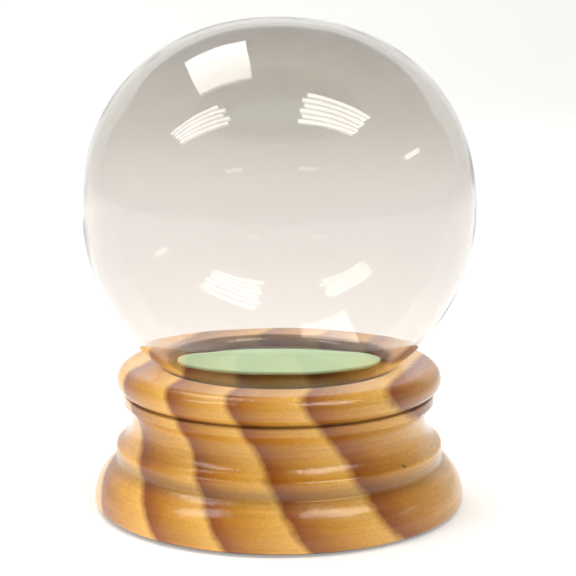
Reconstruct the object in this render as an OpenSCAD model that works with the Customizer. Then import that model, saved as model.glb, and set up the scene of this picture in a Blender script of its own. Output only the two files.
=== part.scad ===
// Crystal ball: a hollow glass globe with a stoppered neck, standing in a turned pine stand.
// Millimetres, +Z up, origin in the middle of the face the stand rests on. -Y is the front.

/* [Globe] */
// Outside diameter of the globe at its widest
globe_d = 100; // [96:1:104]
// Glass wall thickness
glass_wall = 1.4; // [1.2:0.1:1.8]
// Height of the crown over the widest circle, as a share of the radius
crown_rise = 0.962; // [0.94:0.002:1]
// Fullness of the crown's curve, where 2 is a plain ellipse
crown_fullness = 2.15; // [2:0.05:2.4]
// Outside diameter of the neck under the globe
neck_od = 57.2; // [56:0.2:57.8]
// Height of the neck's lip over the stand's resting face
lip_z = 25.1; // [24.9:0.1:26.4]

/* [Stand] */
// Height of the stand's top face
stand_h = 36.7; // [36:0.1:38]
// Largest diameter, on the foot roll
foot_d = 95.6; // [94:0.2:98]
// Diameter of the low ridge over the foot roll
ridge_d = 84.2; // [82:0.2:86]
// Diameter of the waist
waist_d = 75.4; // [74:0.2:78]
// Diameter of the bead under the top roll
bead_d = 79.8; // [79:0.2:81]
// Largest diameter of the top roll
roll_d = 83.4; // [82:0.2:86]
// Diameter of the recess that takes the neck
recess_d = 58.4; // [58.2:0.1:59.2]
// Height of the recess floor
recess_floor_z = 19.4; // [17:0.2:19.4]
// Radius of the rounded recess edge that the globe rests on
seat_round = 1.6; // [1:0.1:2]

/* [Stopper and plate] */
// Diameter of the stopper's plug between its sealing ribs
plug_d = 52.8; // [51.8:0.2:53.2]
// Radial clearance of the sealing ribs in the neck
rib_fit = 0.06; // [0.02:0.01:0.1]
// Number of sealing ribs
rib_count = 3; // [2:1:3]
// Height of the stopper's top face
plug_top_z = 34.7; // [33.9:0.1:34.9]
// Long axis of the oval plate
plate_l = 53.2; // [48:0.2:53.4]
// Short axis of the oval plate
plate_w = 25.4; // [22:0.2:36]
// Thickness of the oval plate
plate_t = 1; // [0.8:0.1:1.4]

/* [Felt] */
// Thickness of the felt ring under the stopper
seat_felt_t = 2; // [1.5:0.1:2]
// Hole in the felt ring
seat_felt_hole_d = 24; // [16:1:30]
// Diameter of the felt disc under the stand
foot_felt_d = 76; // [60:1:80]
// Thickness of the felt disc under the stand
foot_felt_t = 1.2; // [1:0.1:1.6]
// How far the felt disc stands below the wood
foot_felt_proud = 0.4; // [0.3:0.1:0.6]

/* [Hidden] */

$fn = 96;
overlap = 0.01;

// Globe
globe_r = globe_d / 2;
inner_r = globe_r - glass_wall;
neck_r = neck_od / 2;
neck_bore_r = neck_r - glass_wall;
lip_bead = 0.35;
arc_step = 3;

// Stand
recess_r = recess_d / 2;
seat_round_r = recess_r + seat_round;
seat_round_z = stand_h - seat_round;
heel_round = 1.8;
heel_z = foot_felt_proud + heel_round;
foot_roll = 11.6;
cove = 6;
cove_z = 22.4;
cove_r = waist_d / 2 + cove;
ridge_round = 1.2;
ridge_round_r = ridge_d / 2 - ridge_round;
ridge_round_z = cove_z - sqrt(pow(cove + ridge_round, 2) - pow(cove_r - ridge_round_r, 2));
cove_start_r = cove_r - (cove_r - ridge_round_r) * cove / (cove + ridge_round);
bead_top_z = 29.4;
groove = 0.8;
groove_z = 29.8;
roll_round = 3.6;
felt_play = 0.2;

// Centre height of the globe: it touches the rounded recess edge all the way round
globe_z = seat_round_z + sqrt(pow(globe_r + seat_round, 2) - pow(seat_round_r, 2));

// Stopper and plate
plug_r = plug_d / 2;
rib_r = neck_bore_r - rib_fit;
rib_round = 0.9;
rib_pitch = 2.6;
flange_r = 28.3;
flange_gap = 0.2;
plug_bottom_z = recess_floor_z + seat_felt_t;
flange_top_z = lip_z - flange_gap;
boss_r = 9;
boss_h = 1.3;
plate_z = plug_top_z + boss_h;

// Point on the globe's wall, radius r, at angle a over the widest circle
function globe_point(r, a) =
    a <= 0
        ? [r * cos(a), globe_z + r * sin(a)]
        : [
            r * pow(cos(a), 2 / crown_fullness),
            globe_z + (globe_r * crown_rise - globe_r + r) * pow(sin(a), 2 / crown_fullness)
        ];

// Angle at which the ball of radius r meets a cylinder of radius c below it
function meeting_angle(r, c) = -acos(c / r);

// Wall outline from the neck to the crown
function globe_arc(r, c) =
    let (start = meeting_angle(r, c), steps = ceil((90 - start) / arc_step))
    [
        for (i = [0 : steps - 1]) globe_point(r, start + i / steps * (90 - start)),
        [0, globe_point(r, 90)[1]]
    ];

function reversed(list) = [for (i = [len(list) - 1 : -1 : 0]) list[i]];

module glass_globe() {
    outer = concat([[neck_r, lip_z + lip_bead]], globe_arc(globe_r, neck_r));
    inner = concat([[neck_bore_r, lip_z]], globe_arc(inner_r, neck_bore_r));
    color([0.86, 0.88, 0.87, 0.35])
        rotate_extrude()
            union() {
                polygon(concat([[neck_r - lip_bead, lip_z]], outer, reversed(inner)));
                translate([neck_r - glass_wall / 2, lip_z + glass_wall / 2])
                    circle(d = glass_wall, $fn = 32);
            }
}

// Half section of the stand's outside, before the cove, the groove and the recess are cut
module stand_outline() {
    // Foot roll over a rounded heel
    intersection() {
        translate([foot_d / 2 - foot_roll, heel_z])
            circle(r = foot_roll);
        translate([0, heel_z])
            square([foot_d, stand_h]);
    }
    translate([foot_d / 2 - heel_round, heel_z])
        circle(r = heel_round);
    square([foot_d / 2 - heel_round, heel_z]);
    square([foot_d / 2 - foot_roll, heel_z + foot_roll]);
    // Ridge, rounded over until it meets the cove
    translate([0, heel_z])
        square([ridge_d / 2, ridge_round_z - heel_z]);
    translate([ridge_round_r, ridge_round_z])
        circle(r = ridge_round);
    square([cove_start_r, cove_z]);
    // Bead and top roll
    translate([0, cove_z])
        square([bead_d / 2, bead_top_z - cove_z]);
    translate([roll_d / 2 - roll_round, stand_h - roll_round])
        circle(r = roll_round);
    square([roll_d / 2 - roll_round, stand_h]);
}

module turned_stand() {
    color([0.86, 0.66, 0.36])
        difference() {
            rotate_extrude()
                difference() {
                    intersection() {
                        stand_outline();
                        translate([0, foot_felt_proud])
                            square([foot_d, stand_h]);
                    }
                    translate([cove_r, cove_z])
                        circle(r = cove);
                    translate([bead_d / 2 - groove / 2, groove_z])
                        circle(r = groove, $fn = 32);
                    // Recess, with the rounded edge left standing
                    translate([-overlap, recess_floor_z])
                        square([recess_r + overlap, stand_h]);
                    difference() {
                        translate([recess_r - overlap, seat_round_z])
                            square([seat_round + overlap, stand_h]);
                        translate([seat_round_r, seat_round_z])
                            circle(r = seat_round, $fn = 64);
                    }
                }
            // Shallow recess for the felt disc
            translate([0, 0, -overlap])
                cylinder(h = foot_felt_t + overlap, d = foot_felt_d + 2 * felt_play);
        }
}

module foot_felt() {
    color([0.25, 0.33, 0.24])
        cylinder(h = foot_felt_t, d = foot_felt_d);
}

module seat_felt() {
    color([0.30, 0.22, 0.16])
        translate([0, 0, recess_floor_z])
            difference() {
                cylinder(h = seat_felt_t, r = flange_r);
                translate([0, 0, -overlap])
                    cylinder(h = seat_felt_t + 2 * overlap, d = seat_felt_hole_d);
            }
}

module neck_stopper() {
    rib_mid_z = (plug_top_z + flange_top_z) / 2;
    color([0.36, 0.25, 0.16])
        rotate_extrude() {
            // Flange, plug and the boss that carries the plate
            translate([0, plug_bottom_z])
                square([flange_r, flange_top_z - plug_bottom_z]);
            translate([0, plug_bottom_z])
                square([plug_r, plug_top_z - plug_bottom_z]);
            translate([0, plug_bottom_z])
                square([boss_r, plate_z - plug_bottom_z]);
            // Sealing ribs
            for (i = [0 : rib_count - 1])
                translate([rib_r - rib_round, rib_mid_z + (i - (rib_count - 1) / 2) * rib_pitch])
                    circle(r = rib_round, $fn = 32);
        }
}

// Oval of four tangent arcs, filled
module oval(length, width) {
    end_r = width * 0.3;
    end_x = length / 2 - end_r;
    side_r = (pow(end_x, 2) + pow(width / 2, 2) - pow(end_r, 2)) / (width - 2 * end_r);
    for (side = [-1, 1])
        translate([side * end_x, 0])
            circle(r = end_r);
    intersection() {
        translate([0, side_r - width / 2])
            circle(r = side_r);
        translate([0, width / 2 - side_r])
            circle(r = side_r);
        square([2 * end_x * side_r / (side_r - end_r), width], center = true);
    }
}

module oval_plate() {
    color([0.72, 0.80, 0.64])
        translate([0, 0, plate_z])
            linear_extrude(height = plate_t)
                oval(plate_l, plate_w);
}

turned_stand();
foot_felt();
seat_felt();
neck_stopper();
oval_plate();
glass_globe();
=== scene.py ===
"""Crystal ball: a blown glass globe, closed by a rubber stopper, standing in a turned pine stand.

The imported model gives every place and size. Each piece of the object is one class that shapes its mesh
with bmesh operators and dresses it in a procedural finish.
"""
import logging
import math
from dataclasses import dataclass, field
from enum import Enum
from typing import Any, Iterable

import bmesh
import bpy
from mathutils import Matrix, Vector, noise


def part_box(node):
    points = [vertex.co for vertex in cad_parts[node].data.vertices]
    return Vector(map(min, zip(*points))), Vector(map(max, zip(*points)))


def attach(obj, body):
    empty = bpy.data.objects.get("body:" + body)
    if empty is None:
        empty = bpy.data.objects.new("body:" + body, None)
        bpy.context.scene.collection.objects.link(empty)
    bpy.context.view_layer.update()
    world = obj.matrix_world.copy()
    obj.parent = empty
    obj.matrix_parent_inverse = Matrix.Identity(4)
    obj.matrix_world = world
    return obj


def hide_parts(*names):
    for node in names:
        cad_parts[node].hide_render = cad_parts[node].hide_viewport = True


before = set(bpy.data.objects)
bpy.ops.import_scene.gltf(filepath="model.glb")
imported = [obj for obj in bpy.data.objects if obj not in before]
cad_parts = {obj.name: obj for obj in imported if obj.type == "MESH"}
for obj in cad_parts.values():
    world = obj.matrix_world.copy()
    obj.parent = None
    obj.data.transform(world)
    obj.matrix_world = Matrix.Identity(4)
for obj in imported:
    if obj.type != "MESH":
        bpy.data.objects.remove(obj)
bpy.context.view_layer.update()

LOG = logging.getLogger("crystal_ball")

MM = 0.001
FULL_TURN = math.tau
TURNING_SEGMENTS = 192
WELD = 1e-6


# Helpers


def mm(*values: float) -> tuple[float, ...]:
    """Turns millimetres into metres."""
    return tuple(value * MM for value in values)


def linear(hex_colour: str, alpha: float = 1.0) -> tuple[float, float, float, float]:
    """Turns an sRGB hex colour into linear values.

    Args:
        hex_colour: The colour as "#RRGGBB".
        alpha: The fourth value.

    Returns:
        Linear red, green and blue, and alpha.
    """
    parts = [int(hex_colour[i : i + 2], 16) / 255 for i in (1, 3, 5)]
    red, green, blue = (
        part / 12.92 if part <= 0.04045 else ((part + 0.055) / 1.055) ** 2.4 for part in parts
    )
    return red, green, blue, alpha


def add(
    tree: bpy.types.NodeTree,
    kind: str,
    inputs: dict[Any, Any] | None = None,
    stops: Iterable[tuple[float, str]] = (),
    **settings: Any,
) -> bpy.types.Node:
    """Adds a node with its settings and links.

    Args:
        tree: The node tree that takes the node.
        kind: The node's type, such as "ShaderNodeMath".
        inputs: A value, or another node's output, for each input socket.
        stops: Positions and hex colours, for a colour ramp.
        **settings: Values for the node's own properties.

    Returns:
        The new node.
    """
    node = tree.nodes.new(kind)
    for name, value in settings.items():
        setattr(node, name, value)
    for key, value in (inputs or {}).items():
        if isinstance(value, bpy.types.NodeSocket):
            tree.links.new(value, node.inputs[key])
        else:
            node.inputs[key].default_value = value
    for index, (position, colour) in enumerate(stops):
        elements = node.color_ramp.elements
        element = elements[index] if index < 2 else elements.new(position)
        element.position, element.color = position, linear(colour)
    return node


def new_material(name: str) -> tuple[bpy.types.Material, bpy.types.NodeTree, bpy.types.NodeSocket]:
    """Makes an empty node material.

    Args:
        name: The material's name.

    Returns:
        The material, its node tree and the surface socket of its output.
    """
    material = bpy.data.materials.new(name)
    material.use_nodes = True
    tree = material.node_tree
    tree.nodes.clear()
    return material, tree, add(tree, "ShaderNodeOutputMaterial").inputs["Surface"]


def make_object(name: str, bm: bmesh.types.BMesh) -> bpy.types.Object:
    """Turns a bmesh into a smooth-shaded object at the origin.

    Args:
        name: The piece's name.
        bm: The shape, which is freed.

    Returns:
        The new object, linked to the scene.
    """
    bmesh.ops.remove_doubles(bm, verts=bm.verts, dist=WELD)
    bmesh.ops.recalc_face_normals(bm, faces=bm.faces)
    for face in bm.faces:
        face.smooth = True
    mesh = bpy.data.meshes.new(name)
    bm.to_mesh(mesh)
    bm.free()
    piece = bpy.data.objects.new(name, mesh)
    bpy.context.scene.collection.objects.link(piece)
    return piece


def dress(piece: bpy.types.Object, material: bpy.types.Material, body: str, node: str) -> None:
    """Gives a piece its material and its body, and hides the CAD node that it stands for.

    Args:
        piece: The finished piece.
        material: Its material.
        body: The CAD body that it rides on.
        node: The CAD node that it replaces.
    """
    piece.data.materials.append(material)
    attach(piece, body)
    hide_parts(node)
    LOG.info("%s: %d faces, rides on %s", piece.name, len(piece.data.polygons), body)


class Outline:
    """A half section in the plane of the turning axis, drawn in millimetres, one stroke after another."""

    def __init__(self, radius: float, height: float) -> None:
        """Starts the outline at a point."""
        self.bm = bmesh.new()
        self.start = self.tip = self.bm.verts.new(mm(radius, 0, height))

    def move(self, radius: float, height: float) -> "Outline":
        """Lifts the pen and starts another stroke at a point."""
        self.tip = self.bm.verts.new(mm(radius, 0, height))
        return self

    def line(self, radius: float, height: float, cuts: int = 0) -> "Outline":
        """Draws a straight stroke.

        Args:
            radius: The end's distance from the axis.
            height: The end's height.
            cuts: How many points to put in between.

        Returns:
            The outline.
        """
        start, end = self.tip.co.copy(), Vector(mm(radius, 0, height))
        for cut in range(1, cuts + 2):
            point = self.bm.verts.new(start.lerp(end, cut / (cuts + 1)))
            self.bm.edges.new((self.tip, point))
            self.tip = point
        return self

    def arc(self, radius: float, height: float, degrees: float, steps: int) -> "Outline":
        """Draws an arc from the pen round a centre.

        Args:
            radius: The centre's distance from the axis.
            height: The centre's height.
            degrees: How far to turn, anticlockwise with the axis on the left.
            steps: How many chords the arc has.

        Returns:
            The outline.
        """
        swept = bmesh.ops.spin(
            self.bm,
            geom=[self.tip],
            cent=mm(radius, 0, height),
            axis=(0, -1, 0),
            angle=math.radians(degrees),
            steps=steps,
            use_merge=False,
        )
        self.tip = next(g for g in swept["geom_last"] if isinstance(g, bmesh.types.BMVert))
        return self

    def close(self) -> "Outline":
        """Joins the pen to the outline's start."""
        self.bm.edges.new((self.tip, self.start))
        return self

    def turn(self, segments: int = TURNING_SEGMENTS) -> bmesh.types.BMesh:
        """Turns the half section round the axis.

        Args:
            segments: How many facets go round.

        Returns:
            The turned shape.
        """
        bmesh.ops.spin(
            self.bm,
            geom=[*self.bm.verts, *self.bm.edges],
            cent=(0, 0, 0),
            axis=(0, 0, 1),
            angle=FULL_TURN,
            steps=segments,
            use_merge=True,
        )
        return self.bm


# Finishes


@dataclass(frozen=True)
class LacqueredPine:
    """Scots pine, cut across the trunk, turned on a lathe, sanded and sprayed with clear gloss lacquer.

    Wide growth rings, each with a sharp dark late-wood edge. Fibres show as dots on the end grain and as
    streaks on the sides. Faint rings from the tool run round the axis under a glassy coat.
    """

    ring_tones: tuple[tuple[float, str], ...] = (
        (0.0, "#8C480A"),
        (0.10, "#9C590F"),
        (0.32, "#BB7C20"),
        (0.62, "#D79C3C"),
        (0.88, "#E9B355"),
        (1.0, "#8C480A"),
    )
    knot: str = "#5E3711"
    pith_at: tuple[float, float, float] = (196.9, 140.9, 0.0)
    pith_along: tuple[float, float, float] = (-0.4085, -0.8502, 0.3321)
    ring_width: float = 15.6
    ring_edge: float = 105.0
    wander: float = 1.6
    wander_scale: float = 34.0
    fray: float = 0.7
    fray_scale: float = 3.2
    fibre_width: float = 0.5
    fibre_length: float = 16.0
    streak_range: tuple[float, float] = (0.65, 1.35)
    streak_shade: tuple[float, float] = (0.80, 1.16)
    heart_range: tuple[float, float] = (84.0, 156.0)
    heart_shade: tuple[float, float] = (0.80, 1.22)
    tool_ring: float = 0.8
    tool_rings_across: float = 0.03
    line_core: float = 0.1
    # Painted shade inside the recess: where it ends, how far it blends and the share of brightness left
    recess_r: float = 31.4
    recess_blend: float = 1.6
    recess_painted_shade: float = 0.28
    knot_core: float = 0.25
    knot_reach: float = 0.9
    knot_strength: float = 0.8
    roughness: float = 0.4
    coat_roughness: float = 0.1

    def rings(self, tree: bpy.types.NodeTree, place: bpy.types.NodeSocket) -> bpy.types.NodeSocket:
        """Measures the distance from the pith, with the growth's small wanderings.

        Args:
            tree: The material's tree.
            place: Object coordinates in millimetres.

        Returns:
            The distance in millimetres.
        """
        from_pith = add(
            tree, "ShaderNodeVectorMath", {0: place, 1: self.pith_at}, operation="SUBTRACT"
        ).outputs["Vector"]
        across = add(
            tree, "ShaderNodeVectorMath", {0: from_pith, 1: self.pith_along}, operation="CROSS_PRODUCT"
        ).outputs["Vector"]
        distance = add(tree, "ShaderNodeVectorMath", {0: across}, operation="LENGTH").outputs["Value"]
        for reach, scale in ((self.wander, self.wander_scale), (self.fray, self.fray_scale)):
            drift = add(
                tree, "ShaderNodeTexNoise", {"Vector": place, "Scale": 1 / scale, "Detail": 2.0}
            ).outputs["Fac"]
            swing = add(
                tree, "ShaderNodeMath", {0: drift, 1: 2 * reach, 2: -reach}, operation="MULTIPLY_ADD"
            ).outputs[0]
            distance = add(tree, "ShaderNodeMath", {0: distance, 1: swing}, operation="ADD").outputs[0]
        return distance

    def fibres(
        self, tree: bpy.types.NodeTree, place: bpy.types.NodeSocket, distance: bpy.types.NodeSocket
    ) -> bpy.types.NodeSocket:
        """Makes the fibres, which run along the pith.

        Args:
            tree: The material's tree.
            place: Object coordinates in millimetres.
            distance: Distance from the pith in millimetres.

        Returns:
            The fibres' tone, from 0 to 1.
        """
        along = add(
            tree, "ShaderNodeVectorMath", {0: place, 1: self.pith_along}, operation="DOT_PRODUCT"
        ).outputs["Value"]
        height = add(tree, "ShaderNodeSeparateXYZ", {"Vector": place}).outputs["Z"]
        grain = add(
            tree, "ShaderNodeCombineXYZ", {"X": distance, "Y": height, "Z": along}
        ).outputs["Vector"]
        stretch = (1 / self.fibre_width, 1 / self.fibre_width, 1 / self.fibre_length)
        scaled = add(tree, "ShaderNodeMapping", {"Vector": grain, "Scale": stretch}).outputs["Vector"]
        return add(
            tree, "ShaderNodeTexNoise", {"Vector": scaled, "Scale": 1.0, "Detail": 4.0}
        ).outputs["Fac"]

    def build(
        self,
        corners: tuple[tuple[float, float, float], ...],
        knot_at: tuple[float, float, float],
    ) -> bpy.types.Material:
        """Makes the material.

        Args:
            corners: Height of each painted line of shade round the wood and how far it spreads, both in
                millimetres, and the share of the wood's brightness left in its middle.
            knot_at: A pin knot's centre, in millimetres.

        Returns:
            The material.
        """
        material, tree, surface = new_material("lacquered_turned_pine")
        coords = add(tree, "ShaderNodeTexCoord").outputs["Object"]
        place = add(
            tree, "ShaderNodeVectorMath", {0: coords, "Scale": 1 / MM}, operation="SCALE"
        ).outputs["Vector"]
        height = add(tree, "ShaderNodeSeparateXYZ", {"Vector": place}).outputs["Z"]
        distance = self.rings(tree, place)
        inward = add(
            tree, "ShaderNodeMath", {0: self.ring_edge, 1: distance}, operation="SUBTRACT"
        ).outputs[0]
        ring = add(tree, "ShaderNodeMath", {0: inward, 1: self.ring_width}, operation="DIVIDE").outputs[0]
        phase = add(tree, "ShaderNodeMath", {0: ring}, operation="FRACT").outputs[0]
        band = add(tree, "ShaderNodeValToRGB", {"Fac": phase}, stops=self.ring_tones).outputs["Color"]
        fibre = self.fibres(tree, place, distance)

        # Rings from the tool run round the axis, and break up where the wood is softer
        tool_scale = (self.tool_rings_across, self.tool_rings_across, 1 / self.tool_ring)
        turned = add(tree, "ShaderNodeMapping", {"Vector": place, "Scale": tool_scale}).outputs["Vector"]
        tool = add(
            tree, "ShaderNodeTexNoise", {"Vector": turned, "Scale": 1.0, "Detail": 4.0, "Roughness": 0.6}
        ).outputs["Fac"]
        streaks = add(tree, "ShaderNodeMath", {0: fibre, 1: tool}, operation="ADD").outputs[0]
        shade = add(
            tree,
            "ShaderNodeMapRange",
            {
                "Value": streaks,
                "From Min": self.streak_range[0],
                "From Max": self.streak_range[1],
                "To Min": self.streak_shade[0],
                "To Max": self.streak_shade[1],
            },
        ).outputs["Result"]

        # Heart wood towards the pith is deeper than the sap wood
        heart = add(
            tree,
            "ShaderNodeMapRange",
            {
                "Value": distance,
                "From Min": self.heart_range[0],
                "From Max": self.heart_range[1],
                "To Min": self.heart_shade[0],
                "To Max": self.heart_shade[1],
            },
        ).outputs["Result"]
        shade = add(tree, "ShaderNodeMath", {0: shade, 1: heart}, operation="MULTIPLY").outputs[0]

        # Painted shade: dark lines in the groove and under the ridge's arris stand in for the shade that
        # falls in these creases. The line under the heel stands in for the close shadow there, which the
        # bright floor washes out
        for corner, spread, left in corners:
            gap = add(tree, "ShaderNodeMath", {0: height, 1: corner}, operation="SUBTRACT").outputs[0]
            near = add(tree, "ShaderNodeMath", {0: gap}, operation="ABSOLUTE").outputs[0]
            painted_line_shade = add(
                tree,
                "ShaderNodeMapRange",
                {
                    "Value": near,
                    "From Min": self.line_core,
                    "From Max": spread,
                    "To Min": left,
                    "To Max": 1.0,
                },
                interpolation_type="SMOOTHSTEP",
            ).outputs["Result"]
            shade = add(tree, "ShaderNodeMath", {0: shade, 1: painted_line_shade}, operation="MULTIPLY").outputs[0]

        # Painted shade: the wood inside the recess is darkened, standing in for the shade that falls in it
        flat = add(
            tree, "ShaderNodeVectorMath", {0: place, 1: (1.0, 1.0, 0.0)}, operation="MULTIPLY"
        ).outputs["Vector"]
        radius = add(tree, "ShaderNodeVectorMath", {0: flat}, operation="LENGTH").outputs["Value"]
        recess = add(
            tree,
            "ShaderNodeMapRange",
            {
                "Value": radius,
                "From Min": self.recess_r - self.recess_blend,
                "From Max": self.recess_r,
                "To Min": self.recess_painted_shade,
                "To Max": 1.0,
            },
            interpolation_type="SMOOTHSTEP",
        ).outputs["Result"]
        shade = add(tree, "ShaderNodeMath", {0: shade, 1: recess}, operation="MULTIPLY").outputs[0]
        shaded = add(
            tree, "ShaderNodeVectorMath", {0: band, "Scale": shade}, operation="SCALE"
        ).outputs["Vector"]

        # One pin knot
        to_knot = add(
            tree, "ShaderNodeVectorMath", {0: place, 1: knot_at}, operation="DISTANCE"
        ).outputs["Value"]
        knot_share = add(
            tree,
            "ShaderNodeMapRange",
            {
                "Value": to_knot,
                "From Min": self.knot_core,
                "From Max": self.knot_reach,
                "To Min": self.knot_strength,
                "To Max": 0.0,
            },
            interpolation_type="SMOOTHSTEP",
        ).outputs["Result"]
        colour = add(
            tree,
            "ShaderNodeMix",
            {0: knot_share, 6: shaded, 7: linear(self.knot)},
            data_type="RGBA",
        ).outputs[2]

        wood_bump = add(
            tree, "ShaderNodeBump", {"Strength": 0.4, "Distance": 0.00006, "Height": streaks}
        ).outputs["Normal"]
        orange_peel = add(
            tree, "ShaderNodeTexNoise", {"Vector": place, "Scale": 0.6, "Detail": 2.0}
        ).outputs["Fac"]
        coat_height = add(
            tree, "ShaderNodeMath", {0: streaks, 1: 0.5, 2: orange_peel}, operation="MULTIPLY_ADD"
        ).outputs[0]
        coat_bump = add(
            tree, "ShaderNodeBump", {"Strength": 0.6, "Distance": 0.00012, "Height": coat_height}
        ).outputs["Normal"]
        shader = add(
            tree,
            "ShaderNodeBsdfPrincipled",
            {
                "Base Color": colour,
                "Roughness": self.roughness,
                "IOR": 1.5,
                "Specular IOR Level": 0.25,
                "Normal": wood_bump,
                "Coat Weight": 0.85,
                "Coat Roughness": self.coat_roughness,
                "Coat IOR": 1.5,
                "Coat Normal": coat_bump,
            },
        )
        tree.links.new(shader.outputs["BSDF"], surface)
        return material


@dataclass(frozen=True)
class BlownGlass:
    """Soda-lime glass, blown in a mould and left clear.

    A painted shade darkens the glass towards the crown, standing in for the grey room seen through its
    upper part.
    Blowing leaves slow waves in the wall, which bend the reflections a little.
    """

    crown_shade_tints: tuple[tuple[float, str], ...] = (
        (0.0, "#FAF6F2"),
        (1.0, "#DAD7D3"),
        (0.15, "#F5F1ED"),
        (0.3, "#EEEAE7"),
        (0.5, "#E9E5E2"),
        (0.72, "#E2DFDA"),
        (0.88, "#DDDAD5"),
    )
    ior: float = 1.5
    wave_mm: float = 16.0
    shadow_tint: str = "#F4F3F0"

    def build(self, low: float, high: float) -> bpy.types.Material:
        """Makes the material.

        Args:
            low: Height of the globe's foot, in metres.
            high: Height of its crown, in metres.

        Returns:
            The material.
        """
        material, tree, surface = new_material("blown_soda_glass")
        coords = add(tree, "ShaderNodeTexCoord").outputs["Object"]
        height = add(tree, "ShaderNodeSeparateXYZ", {"Vector": coords}).outputs["Z"]
        # Painted shade: the glass darkens with height, standing in for the grey room seen through the upper
        # globe
        rise = add(
            tree,
            "ShaderNodeMapRange",
            {"Value": height, "From Min": low, "From Max": high, "To Min": 0.0, "To Max": 1.0},
        ).outputs["Result"]
        tint = add(tree, "ShaderNodeValToRGB", {"Fac": rise}, stops=self.crown_shade_tints).outputs["Color"]
        waves = add(
            tree,
            "ShaderNodeTexNoise",
            {"Vector": coords, "Scale": 1 / (self.wave_mm * MM), "Detail": 1.0},
        ).outputs["Fac"]
        bump = add(
            tree, "ShaderNodeBump", {"Strength": 0.25, "Distance": 0.0004, "Height": waves}
        ).outputs["Normal"]
        glass = add(
            tree,
            "ShaderNodeBsdfPrincipled",
            {
                "Base Color": tint,
                "Roughness": 0.0,
                "IOR": self.ior,
                "Transmission Weight": 1.0,
                "Normal": bump,
            },
        )
        # Lamps reach what is inside the globe through its wall
        open_wall = add(tree, "ShaderNodeBsdfTransparent", {"Color": linear(self.shadow_tint)})
        path = add(tree, "ShaderNodeLightPath")
        mix = add(
            tree,
            "ShaderNodeMixShader",
            {0: path.outputs["Is Shadow Ray"], 1: glass.outputs["BSDF"], 2: open_wall.outputs["BSDF"]},
        )
        tree.links.new(mix.outputs["Shader"], surface)
        return material


@dataclass(frozen=True)
class MouldedRubber:
    """Natural rubber, pressed in a steel mould: brown, waxy, with a bloom in the fine pits."""

    colour: str = "#433A20"
    bloom: str = "#5F5034"
    cloud_mm: float = 6.0
    pit_mm: float = 0.5
    roughness: float = 0.36
    smoother: float = 0.08
    rougher: float = 0.2

    def build(self) -> bpy.types.Material:
        """Makes the material.

        Returns:
            The material.
        """
        material, tree, surface = new_material("moulded_brown_rubber")
        coords = add(tree, "ShaderNodeTexCoord").outputs["Object"]
        cloud = add(
            tree, "ShaderNodeTexNoise", {"Vector": coords, "Scale": 1 / (self.cloud_mm * MM), "Detail": 5.0}
        ).outputs["Fac"]
        colour = add(
            tree,
            "ShaderNodeValToRGB",
            {"Fac": cloud},
            stops=((0.35, self.colour), (0.75, self.bloom)),
        ).outputs["Color"]
        pits = add(
            tree, "ShaderNodeTexNoise", {"Vector": coords, "Scale": 1 / (self.pit_mm * MM), "Detail": 3.0}
        ).outputs["Fac"]
        rough = add(
            tree,
            "ShaderNodeMapRange",
            {
                "Value": cloud,
                "To Min": self.roughness - self.smoother,
                "To Max": self.roughness + self.rougher,
            },
        ).outputs["Result"]
        bump = add(
            tree, "ShaderNodeBump", {"Strength": 0.4, "Distance": 0.00008, "Height": pits}
        ).outputs["Normal"]
        shader = add(
            tree,
            "ShaderNodeBsdfPrincipled",
            {"Base Color": colour, "Roughness": rough, "IOR": 1.52, "Normal": bump},
        )
        tree.links.new(shader.outputs["BSDF"], surface)
        return material


@dataclass(frozen=True)
class MintEnamel:
    """Stoving enamel on thin steel, sprayed: an even mint green with a fine eggshell texture."""

    colour: str = "#B3D6B3"
    shade: str = "#A8CEA8"
    mottle_mm: float = 9.0
    eggshell_mm: float = 0.7
    roughness: float = 0.5

    def build(self) -> bpy.types.Material:
        """Makes the material.

        Returns:
            The material.
        """
        material, tree, surface = new_material("mint_stoving_enamel")
        coords = add(tree, "ShaderNodeTexCoord").outputs["Object"]
        mottle = add(
            tree,
            "ShaderNodeTexNoise",
            {"Vector": coords, "Scale": 1 / (self.mottle_mm * MM), "Detail": 4.0},
        ).outputs["Fac"]
        colour = add(
            tree,
            "ShaderNodeValToRGB",
            {"Fac": mottle},
            stops=((0.3, self.shade), (0.7, self.colour)),
        ).outputs["Color"]
        eggshell = add(
            tree,
            "ShaderNodeTexNoise",
            {"Vector": coords, "Scale": 1 / (self.eggshell_mm * MM), "Detail": 2.0},
        ).outputs["Fac"]
        bump = add(
            tree, "ShaderNodeBump", {"Strength": 0.3, "Distance": 0.00004, "Height": eggshell}
        ).outputs["Normal"]
        shader = add(
            tree,
            "ShaderNodeBsdfPrincipled",
            {"Base Color": colour, "Roughness": self.roughness, "IOR": 1.5, "Normal": bump},
        )
        tree.links.new(shader.outputs["BSDF"], surface)
        return material


class FeltShade(Enum):
    """The two dyed felts: name, base colour and fibre colour."""

    GREEN = ("green_wool_felt", "#3C4A36", "#5C6B50")
    BROWN = ("brown_wool_felt", "#43301F", "#6A4E36")


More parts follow.
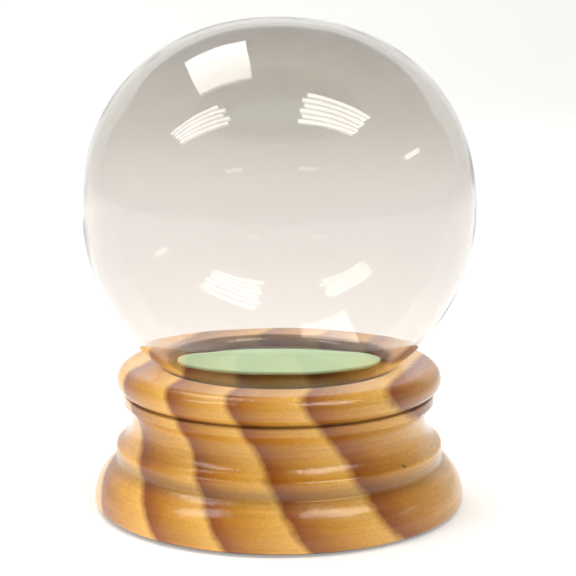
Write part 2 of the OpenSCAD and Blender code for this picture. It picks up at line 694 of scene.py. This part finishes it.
@dataclass(frozen=True)
class WoolFelt:
    """Pressed wool felt: matted fibres that lie every way, with a soft sheen at the edge."""

    shade: FeltShade
    fibre_mm: float = 0.25

    def build(self) -> bpy.types.Material:
        """Makes the material.

        Returns:
            The material.
        """
        name, base, tip = self.shade.value
        material, tree, surface = new_material(name)
        coords = add(tree, "ShaderNodeTexCoord").outputs["Object"]
        mat = add(
            tree,
            "ShaderNodeTexNoise",
            {
                "Vector": coords,
                "Scale": 1 / (self.fibre_mm * MM),
                "Detail": 6.0,
                "Roughness": 0.7,
                "Distortion": 2.5,
            },
        ).outputs["Fac"]
        colour = add(
            tree, "ShaderNodeValToRGB", {"Fac": mat}, stops=((0.35, base), (0.7, tip))
        ).outputs["Color"]
        bump = add(
            tree, "ShaderNodeBump", {"Strength": 0.9, "Distance": 0.0002, "Height": mat}
        ).outputs["Normal"]
        shader = add(
            tree,
            "ShaderNodeBsdfPrincipled",
            {
                "Base Color": colour,
                "Roughness": 0.95,
                "Sheen Weight": 0.5,
                "Sheen Roughness": 0.4,
                "Normal": bump,
            },
        )
        tree.links.new(shader.outputs["BSDF"], surface)
        return material


# Pieces of the object


@dataclass
class TurnedStand:
    """The pine stand, from the felt's recess round the outside to the floor of the recess above."""

    node: str = "turned_stand"
    height: float = field(init=False)
    bottom: float = field(init=False)
    foot_r: float = field(init=False)
    heel: float = 1.8
    foot_roll: float = 11.6
    ridge_r: float = 42.1
    ridge_round: float = 1.2
    waist_r: float = 37.7
    cove: float = 6.0
    cove_z: float = 22.4
    bead_r: float = 39.9
    bead_top_z: float = 29.4
    bead_edge: float = 0.5
    groove_in: float = 0.75
    groove_lip: float = 0.5
    groove_floor: float = 0.05
    groove_top: float = 0.1
    roll_r: float = 41.7
    roll: float = 3.6
    roll_start: float = -62.0
    recess_r: float = 29.2
    seat_round: float = 1.6
    recess_corner: float = 1.0
    recess_floor_z: float = field(init=False)
    felt_recess_r: float = 38.2
    felt_recess_z: float = field(init=False)
    # Painted shade: height, spread and share of brightness left for the dark lines in the groove, under the
    # arris and under the heel
    groove_shade_lift: float = 0.2
    groove_shade_line: tuple[float, float] = (0.9, 0.62)
    arris_shade_line: tuple[float, float, float] = (13.2, 3.2, 0.62)
    heel_line: tuple[float, float, float] = (0.4, 0.9, 0.12)
    knot_at: tuple[float, float, float] = (30.6, -28.0, 16.8)

    def __post_init__(self) -> None:
        """Reads the sizes that the frame gives."""
        low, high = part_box(self.node)
        self.bottom, self.height = low[2] / MM, high[2] / MM
        self.foot_r = high[0] / MM
        self.recess_floor_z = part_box("seat_felt")[0][2] / MM
        self.felt_recess_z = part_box("foot_felt")[1][2] / MM

    def outline(self) -> Outline:
        """Draws the half section.

        Returns:
            The outline, from the axis under the stand to the axis on the recess floor.
        """
        heel_z = self.bottom + self.heel
        foot_c = self.foot_r - self.foot_roll
        foot_end = math.degrees(math.acos((self.ridge_r - foot_c) / self.foot_roll))
        ridge_c = self.ridge_r - self.ridge_round
        cove_c = self.waist_r + self.cove
        reach = self.cove + self.ridge_round
        ridge_z = self.cove_z - math.sqrt(reach**2 - (cove_c - ridge_c) ** 2)
        lean = math.degrees(math.atan2(self.cove_z - ridge_z, cove_c - ridge_c))
        cove_end = math.degrees(math.acos((self.bead_r - cove_c) / self.cove))
        roll_c = self.roll_r - self.roll
        roll_z = self.height - self.roll
        lower_r = roll_c + self.roll * math.cos(math.radians(self.roll_start))
        lower_z = roll_z + self.roll * math.sin(math.radians(self.roll_start))
        seat_r = self.recess_r + self.seat_round

        line = Outline(0, self.felt_recess_z).line(self.felt_recess_r, self.felt_recess_z, 6)
        line.line(self.felt_recess_r, self.bottom).line(self.foot_r - self.heel, self.bottom, 3)
        line.arc(self.foot_r - self.heel, heel_z, 90, 10)
        line.arc(foot_c, heel_z, foot_end, 26)
        line.line(self.ridge_r, ridge_z, 4)
        line.arc(ridge_c, ridge_z, lean, 8)
        line.arc(cove_c, self.cove_z, cove_end - (180 + lean), 26)
        line.line(self.bead_r, self.bead_top_z - self.bead_edge, 3)
        line.arc(self.bead_r - self.bead_edge, self.bead_top_z - self.bead_edge, 90, 5)
        line.line(lower_r - self.groove_in, self.bead_top_z + self.groove_floor, 2)
        line.line(lower_r - self.groove_lip, lower_z - self.groove_top)
        line.line(lower_r, lower_z)
        line.arc(roll_c, roll_z, 90 - self.roll_start, 34)
        line.line(seat_r, self.height, 8)
        line.arc(seat_r, self.height - self.seat_round, 90, 12)
        line.line(self.recess_r, self.recess_floor_z + self.recess_corner, 8)
        line.arc(self.recess_r - self.recess_corner, self.recess_floor_z + self.recess_corner, -90, 5)
        return line.line(0, self.recess_floor_z, 6)

    def make(self) -> bpy.types.Object:
        """Turns the stand and dresses it."""
        piece = make_object("turned_pine_stand", self.outline().turn())
        groove_shade_line = (self.bead_top_z + self.groove_shade_lift, *self.groove_shade_line)
        finish = LacqueredPine().build(
            corners=(groove_shade_line, self.arris_shade_line, self.heel_line), knot_at=self.knot_at
        )
        dress(piece, finish, "stand", self.node)
        return piece


@dataclass
class GlassGlobe:
    """The blown globe: a wall of even thickness, from the fire-rounded lip to the crown and back."""

    node: str = "glass_globe"
    wall: float = 1.4
    crown_fullness: float = 2.15
    neck_r: float = 28.6
    lip_z: float = field(init=False)
    crown_z: float = field(init=False)
    globe_r: float = field(init=False)
    crown_share: float = 0.962
    crown_steps: int = 44
    ball_steps: int = 34
    neck_steps: int = 8
    lip_steps: int = 12
    # Where the glass's painted shade starts, above the lip
    tint_above_lip: float = 8.0

    def __post_init__(self) -> None:
        """Reads the sizes that the frame gives."""
        low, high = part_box(self.node)
        self.lip_z, self.crown_z = low[2] / MM, high[2] / MM
        self.globe_r = round(high[0] / MM, 1)

    @property
    def centre_z(self) -> float:
        """Height of the globe's widest circle, in millimetres."""
        return self.crown_z - self.globe_r * self.crown_share

    def crown_point(self, inset: float, angle: float) -> tuple[float, float]:
        """A point on the crown's curve.

        Args:
            inset: Distance inside the outer face.
            angle: Angle over the widest circle, in radians.

        Returns:
            Distance from the axis and height.
        """
        power = 2 / self.crown_fullness
        radius = (self.globe_r - inset) * max(math.cos(angle), 0.0) ** power
        rise = (self.globe_r * self.crown_share - inset) * math.sin(angle) ** power
        return radius, self.centre_z + rise

    def outline(self) -> Outline:
        """Draws the wall's half section.

        Returns:
            The outline, from the lip up the outer face to the crown and down the inner face.
        """
        lip = self.wall / 2
        bore_r = self.neck_r - self.wall
        inner_r = self.globe_r - self.wall
        outer_start = math.degrees(math.acos(self.neck_r / self.globe_r))
        inner_start = math.degrees(math.acos(bore_r / inner_r))
        angles = [i / self.crown_steps * math.pi / 2 for i in range(1, self.crown_steps)]

        line = Outline(bore_r, self.lip_z + lip)
        line.arc(bore_r + lip, self.lip_z + lip, 180, self.lip_steps)
        shoulder_z = self.centre_z - self.globe_r * math.sin(math.radians(outer_start))
        line.line(self.neck_r, shoulder_z, self.neck_steps)
        line.arc(0, self.centre_z, outer_start, self.ball_steps)
        for angle in angles:
            line.line(*self.crown_point(0, angle))
        line.line(0, self.crown_z)
        line.move(0, self.crown_z - self.wall)
        for angle in reversed(angles):
            line.line(*self.crown_point(self.wall, angle))
        line.line(inner_r, self.centre_z)
        line.arc(0, self.centre_z, -inner_start, self.ball_steps)
        start = self.centre_z - inner_r * math.sin(math.radians(inner_start))
        for step in range(1, self.neck_steps + 1):
            line.line(bore_r, start + step / self.neck_steps * (self.lip_z + lip - start))
        return line

    def make(self) -> bpy.types.Object:
        """Blows the globe and dresses it."""
        piece = make_object("blown_glass_globe", self.outline().turn())
        finish = BlownGlass().build((self.lip_z + self.tint_above_lip) * MM, self.crown_z * MM)
        dress(piece, finish, "globe", self.node)
        return piece


@dataclass
class NeckStopper:
    """The rubber stopper: flange, plug with sealing ribs, and the boss that carries the plate."""

    node: str = "neck_stopper"
    plug_r: float = 26.4
    rib_r: float = 27.14
    rib_round: float = 0.9
    rib_pitch: float = 2.6
    rib_count: int = 3
    boss_r: float = 9.0
    top_z: float = 34.7
    edge: float = 0.8
    fillet: float = 0.5
    lip_gap: float = 0.2
    segments: int = 128
    bottom_z: float = field(init=False)
    flange_r: float = field(init=False)
    boss_z: float = field(init=False)
    flange_top_z: float = field(init=False)

    def __post_init__(self) -> None:
        """Reads the sizes that the frame gives."""
        low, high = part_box(self.node)
        self.bottom_z, self.boss_z = low[2] / MM, high[2] / MM
        self.flange_r = high[0] / MM
        self.flange_top_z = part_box("glass_globe")[0][2] / MM - self.lip_gap

    def outline(self) -> Outline:
        """Draws the half section.

        Returns:
            The outline, from the axis under the flange to the axis on the boss.
        """
        rib_c = self.rib_r - self.rib_round
        half = math.degrees(math.acos((self.plug_r - rib_c) / self.rib_round))
        half_h = self.rib_round * math.sin(math.radians(half))
        middle = (self.top_z + self.flange_top_z) / 2
        line = Outline(0, self.bottom_z).line(self.flange_r - self.edge, self.bottom_z, 8)
        line.arc(self.flange_r - self.edge, self.bottom_z + self.edge, 90, 6)
        line.line(self.flange_r, self.flange_top_z - self.edge)
        line.arc(self.flange_r - self.edge, self.flange_top_z - self.edge, 90, 6)
        line.line(self.plug_r + self.fillet, self.flange_top_z)
        line.arc(self.plug_r + self.fillet, self.flange_top_z + self.fillet, -90, 4)
        for index in range(self.rib_count):
            rib_z = middle + (index - (self.rib_count - 1) / 2) * self.rib_pitch
            line.line(self.plug_r, rib_z - half_h)
            line.arc(rib_c, rib_z, 2 * half, 8)
        line.line(self.plug_r, self.top_z - self.edge)
        line.arc(self.plug_r - self.edge, self.top_z - self.edge, 90, 6)
        line.line(self.boss_r + self.fillet, self.top_z, 8)
        line.arc(self.boss_r + self.fillet, self.top_z + self.fillet, -90, 4)
        line.line(self.boss_r, self.boss_z)
        return line.line(0, self.boss_z, 3)

    def make(self) -> bpy.types.Object:
        """Moulds the stopper and dresses it."""
        piece = make_object("moulded_neck_stopper", self.outline().turn(self.segments))
        dress(piece, MouldedRubber().build(), "stopper", self.node)
        return piece


@dataclass
class OvalPlate:
    """The mint-green plate: an oval of four arcs with a rolled edge."""

    node: str = "oval_plate"
    rim: float = 0.35
    end_share: float = 0.3
    end_steps: int = 24
    side_steps: int = 28
    rim_steps: int = 4

    def make(self) -> bpy.types.Object:
        """Cuts the oval, thickens it and rolls its edges.

        Returns:
            The plate.
        """
        low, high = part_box(self.node)
        half_l, half_w = high[0], high[1]
        end_r = 2 * half_w * self.end_share
        end_x = half_l - end_r
        side_r = (end_x**2 + half_w**2 - end_r**2) / (2 * (half_w - end_r))
        reach = math.atan2(side_r - half_w, end_x)
        bm = bmesh.new()
        tip = bm.verts.new((end_x + end_r * math.cos(reach), -end_r * math.sin(reach), low[2]))
        strokes = (
            ((end_x, 0), 2 * reach, self.end_steps),
            ((0, half_w - side_r), math.pi - 2 * reach, self.side_steps),
            ((-end_x, 0), 2 * reach, self.end_steps),
            ((0, side_r - half_w), math.pi - 2 * reach, self.side_steps),
        )
        for (x, y), angle, steps in strokes:
            swept = bmesh.ops.spin(
                bm,
                geom=[tip],
                cent=(x, y, low[2]),
                axis=(0, 0, 1),
                angle=angle,
                steps=steps,
                use_merge=False,
            )
            tip = next(g for g in swept["geom_last"] if isinstance(g, bmesh.types.BMVert))
        bmesh.ops.remove_doubles(bm, verts=bm.verts, dist=WELD)
        bmesh.ops.contextual_create(bm, geom=bm.edges)
        extruded = bmesh.ops.extrude_face_region(bm, geom=bm.faces)
        top = [g for g in extruded["geom"] if isinstance(g, bmesh.types.BMVert)]
        bmesh.ops.translate(bm, verts=top, vec=(0, 0, high[2] - low[2]))
        edges = [e for e in bm.edges if abs(e.verts[0].co.z - e.verts[1].co.z) < WELD]
        bmesh.ops.bevel(
            bm,
            geom=edges,
            offset=self.rim * MM,
            offset_type="OFFSET",
            segments=self.rim_steps,
            profile=0.5,
            affect="EDGES",
            clamp_overlap=True,
            material=-1,
        )
        piece = make_object("mint_oval_plate", bm)
        dress(piece, MintEnamel().build(), "stopper", self.node)
        return piece


@dataclass
class FeltPad:
    """A punched felt disc or ring with a soft, slightly ragged edge."""

    name: str
    node: str
    body: str
    slot: str
    shade: FeltShade
    hole_r: float = 0.0
    edge: float = 0.35
    ragged: float = 0.12
    ragged_per_m: float = 900.0
    ragged_edges: float = 3.0
    ragged_hole: float = 1.0
    rows: int = 18
    segments: int = 160

    def make(self) -> bpy.types.Object:
        """Punches the felt, roughens its edge and dresses it.

        Returns:
            The pad.
        """
        low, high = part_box(self.node)
        outer, bottom, top = high[0] / MM, low[2] / MM, high[2] / MM
        line = Outline(self.hole_r, bottom).line(outer - self.edge, bottom, self.rows)
        line.arc(outer - self.edge, bottom + self.edge, 90, 4)
        line.line(outer, top - self.edge)
        line.arc(outer - self.edge, top - self.edge, 90, 4)
        line.line(self.hole_r, top, self.rows)
        if self.hole_r:
            line.close()
        bm = line.turn(self.segments)
        inner = (self.hole_r + self.ragged_hole) * MM
        for vert in bm.verts:
            radius = Vector(vert.co[:2]).length
            if radius > outer * MM - self.ragged_edges * self.edge * MM or 0 < radius < inner:
                pull = noise.noise(vert.co * self.ragged_per_m) * self.ragged * MM
                vert.co.x *= 1 - (abs(pull) / max(radius, MM))
                vert.co.y *= 1 - (abs(pull) / max(radius, MM))
        piece = make_object(self.name, bm)
        dress(piece, WoolFelt(self.shade).build(), self.body, self.node)
        return piece


# Studio


@dataclass(frozen=True)
class CeilingPanel:
    """A ceiling light seen as tubes behind a louvre: strips side by side, with dark gaps."""

    name: str
    x: tuple[float, float]
    y: tuple[float, float]
    radiance: float
    strips: int = 1
    gap: float = 0.0
    stagger: float = 0.0

    def hang(self, ceiling: float) -> None:
        """Hangs the strips.

        Args:
            ceiling: Height of the ceiling in metres. x and y are shares of it.
        """
        pitch = (self.y[1] - self.y[0]) / self.strips * ceiling
        width = (self.x[1] - self.x[0]) * ceiling
        depth = pitch * (1 - self.gap)
        for index in range(self.strips):
            lamp = bpy.data.lights.new(f"{self.name}_{index + 1}", "AREA")
            lamp.shape = "RECTANGLE"
            lamp.size, lamp.size_y = width, depth
            lamp.energy = self.radiance * math.pi * width * depth
            lamp.color = linear("#FFFDFA")[:3]
            light = bpy.data.objects.new(lamp.name, lamp)
            light.location = (
                ((self.x[0] + self.x[1]) / 2 + self.stagger * (index % 2 - 0.5)) * ceiling,
                self.y[0] * ceiling + (index + 0.5) * pitch,
                ceiling,
            )
            bpy.context.scene.collection.objects.link(light)


@dataclass
class Studio:
    """A white sweep, a pale room and the ceiling lights. Lengths are in metres."""

    ceiling: float = 1.6
    sweep_r: float = 1.2
    sweep_steps: int = 24
    floor_back: float = 1.4
    floor_front: float = 3.0
    half_width: float = 3.0
    wall_height: float = 1.7
    horizon_strength: float = 0.8
    zenith_strength: float = 0.15
    zenith_from: float = 0.85
    panels: tuple[CeilingPanel, ...] = (
        CeilingPanel("right_panel", (0.20, 0.91), (-0.655, -0.19), 10.0, 6, 0.42, 0.03),
        CeilingPanel("left_panel", (-1.35, -0.50), (-0.60, -0.25), 9.0, 5, 0.45, 0.05),
        CeilingPanel("back_panel", (-0.62, -0.18), (0.0, 0.77), 5.0),
        CeilingPanel("front_left_panel", (-1.15, -0.75), (-2.0, -1.8), 1.5),
        CeilingPanel("front_right_panel", (0.4, 0.8), (-2.0, -1.8), 1.5),
        CeilingPanel("far_right_panel", (2.4, 2.7), (-0.3, 0.3), 4.0),
    )

    def sweep(self) -> None:
        """Builds the white floor that curves up into a wall."""
        bm = bmesh.new()
        front = bm.verts.new((0, -self.floor_front, 0))
        back = bm.verts.new((0, self.floor_back, 0))
        bm.edges.new((front, back))
        swept = bmesh.ops.spin(
            bm,
            geom=[back],
            cent=(0, self.floor_back, self.sweep_r),
            axis=(1, 0, 0),
            angle=math.pi / 2,
            steps=self.sweep_steps,
            use_merge=False,
        )
        corner = next(g for g in swept["geom_last"] if isinstance(g, bmesh.types.BMVert))
        bm.edges.new((corner, bm.verts.new((0, corner.co.y, self.wall_height))))
        side = bmesh.ops.extrude_edge_only(bm, edges=bm.edges)
        moved = [g for g in side["geom"] if isinstance(g, bmesh.types.BMVert)]
        bmesh.ops.translate(bm, verts=moved, vec=(2 * self.half_width, 0, 0))
        bmesh.ops.translate(bm, verts=bm.verts, vec=(-self.half_width, 0, 0))
        floor = make_object("studio_sweep", bm)
        floor.data.materials.append(self.paper())

    @staticmethod
    def paper() -> bpy.types.Material:
        """Makes the sweep's material: matt white acrylic, lit a little from behind.

        Returns:
            The material.
        """
        material, tree, surface = new_material("backlit_white_acrylic")
        coords = add(tree, "ShaderNodeTexCoord").outputs["Object"]
        tooth = add(
            tree, "ShaderNodeTexNoise", {"Vector": coords, "Scale": 900.0, "Detail": 2.0}
        ).outputs["Fac"]
        colour = add(
            tree, "ShaderNodeValToRGB", {"Fac": tooth}, stops=((0.3, "#F6F6F5"), (0.7, "#F9F9F8"))
        ).outputs["Color"]
        shader = add(
            tree,
            "ShaderNodeBsdfPrincipled",
            {
                "Base Color": colour,
                "Roughness": 0.9,
                "Specular IOR Level": 0.0,
                "Emission Color": linear("#FFFFFF"),
                "Emission Strength": 0.3,
            },
        )
        tree.links.new(shader.outputs["BSDF"], surface)
        return material

    def room(self) -> None:
        """Lights the scene softly from all round."""
        world = bpy.data.worlds.new("pale_room")
        world.use_nodes = True
        tree = world.node_tree
        tree.nodes.clear()
        coords = add(tree, "ShaderNodeTexCoord").outputs["Generated"]
        height = add(tree, "ShaderNodeSeparateXYZ", {"Vector": coords}).outputs["Z"]
        strength = add(
            tree,
            "ShaderNodeMapRange",
            {
                "Value": height,
                "From Min": 0.0,
                "From Max": self.zenith_from,
                "To Min": self.horizon_strength,
                "To Max": self.zenith_strength,
            },
            interpolation_type="SMOOTHSTEP",
        ).outputs["Result"]
        light = add(tree, "ShaderNodeBackground", {"Color": linear("#FBFAF8"), "Strength": strength})
        output = add(tree, "ShaderNodeOutputWorld")
        tree.links.new(light.outputs["Background"], output.inputs["Surface"])
        bpy.context.scene.world = world

    def make(self) -> None:
        """Builds the sweep, the room and the lights."""
        self.sweep()
        self.room()
        for panel in self.panels:
            panel.hang(self.ceiling)
        bpy.context.scene.view_settings.view_transform = "Standard"
        LOG.info("studio: %d ceiling panels", len(self.panels))


@dataclass(frozen=True)
class Viewpoint:
    """Where the camera stands, in millimetres from the middle of the foot, and how it looks down."""

    distance: float = 428.4
    height: float = 133.0
    offset: float = 2.3
    pitch: float = 10.2
    lens: float = 106.25

    def make(self) -> None:
        """Sets up the camera."""
        data = bpy.data.cameras.new("camera")
        data.lens, data.sensor_width = self.lens, 36.0
        data.clip_start, data.clip_end = 0.01, 50.0
        camera = bpy.data.objects.new("camera", data)
        camera.location = mm(self.offset, -self.distance, self.height)
        camera.rotation_euler = (math.radians(90 - self.pitch), 0.0, 0.0)
        bpy.context.scene.collection.objects.link(camera)
        bpy.context.scene.camera = camera


def main() -> None:
    """Builds the object piece by piece, then the studio round it."""
    logging.basicConfig(level=logging.INFO, format="%(message)s")
    Viewpoint().make()
    TurnedStand().make()
    FeltPad("foot_felt_disc", "foot_felt", "stand", "green_felt", FeltShade.GREEN).make()
    FeltPad("seat_felt_ring", "seat_felt", "turning_seat", "brown_felt", FeltShade.BROWN, 12.0).make()
    NeckStopper().make()
    OvalPlate().make()
    GlassGlobe().make()
    Studio().make()


if __name__ == "__main__":
    main()
